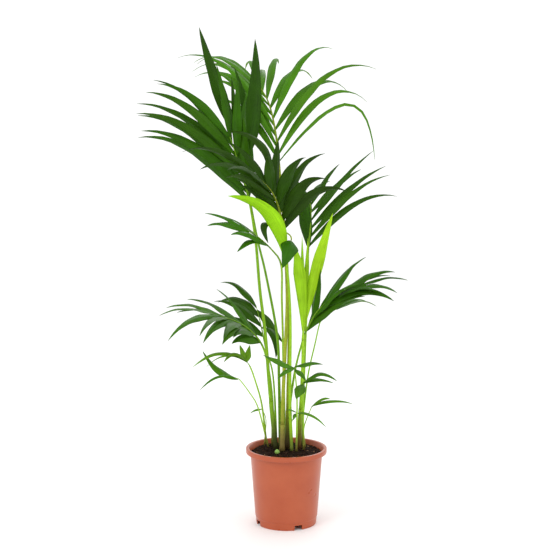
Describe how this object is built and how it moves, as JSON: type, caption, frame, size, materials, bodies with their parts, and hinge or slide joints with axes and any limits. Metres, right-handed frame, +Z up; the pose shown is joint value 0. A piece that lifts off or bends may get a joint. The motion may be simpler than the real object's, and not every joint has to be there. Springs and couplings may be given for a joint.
{
  "type": "potted kentia palm",
  "caption": "Kentia palm: slim seedlings with arching stalks and feathered fronds, growing together in a tapered nursery pot filled with soil.",
  "frame": {"origin": "on the pot's axis, in the plane of its underside", "axes": "+Z up the pot's axis, -Y towards the front of the pictured view, +X to its right"},
  "size_m": [0.6694, 0.8388, 1.2742],
  "materials": {
    "terracotta_plastic": "satin moulded plastic",
    "potting_soil": "damp and crumbly",
    "seed_husk": "dull fibrous husk",
    "green_stalk": "smooth living stalk",
    "brown_sheath": "dull fibrous sheath",
    "green_leaf": "satin living leaf",
    "young_leaf": "satin young leaf"
  },
  "bodies": {
    "root": {"frond_hanging": "green_leaf", "frond_high_left": "green_leaf", "frond_high_middle": "green_leaf", "frond_high_right": "green_leaf", "frond_low_back_left": "green_leaf", "frond_low_far_right": "green_leaf", "frond_low_left": "green_leaf", "frond_low_right": "green_leaf", "frond_lowest_left": "green_leaf", "frond_lowest_right": "green_leaf", "frond_middle": "green_leaf", "frond_middle_right": "green_leaf", "frond_pale_left": "green_leaf", "frond_small_centre": "green_leaf", "frond_small_left": "green_leaf", "frond_small_right": "green_leaf", "frond_tiny_left": "green_leaf", "frond_tiny_middle": "green_leaf", "frond_young_left": "young_leaf", "frond_young_right": "young_leaf", "pot": "terracotta_plastic", "seed": "seed_husk", "soil": "potting_soil", "stalk_hanging": "green_stalk", "stalk_high_left": "green_stalk", "stalk_high_middle": "green_stalk", "stalk_high_right": "green_stalk", "stalk_low_back_left": "green_stalk", "stalk_low_far_right": "green_stalk", "stalk_low_left": "green_stalk", "stalk_low_right": "green_stalk", "stalk_lowest_left": "green_stalk", "stalk_lowest_right": "green_stalk", "stalk_middle": "green_stalk", "stalk_middle_right": "green_stalk", "stalk_pale_left": "green_stalk", "stalk_small_centre": "green_stalk", "stalk_small_left": "green_stalk", "stalk_small_right": "green_stalk", "stalk_spear": "green_stalk", "stalk_tiny_left": "green_stalk", "stalk_tiny_middle": "green_stalk", "stalk_young_left": "green_stalk", "stalk_young_right": "green_stalk", "stem_high_left": "brown_sheath", "stem_high_right": "brown_sheath", "stem_middle": "brown_sheath", "stem_middle_right": "brown_sheath", "stem_young_right": "brown_sheath"}
  },
  "joints": []
}
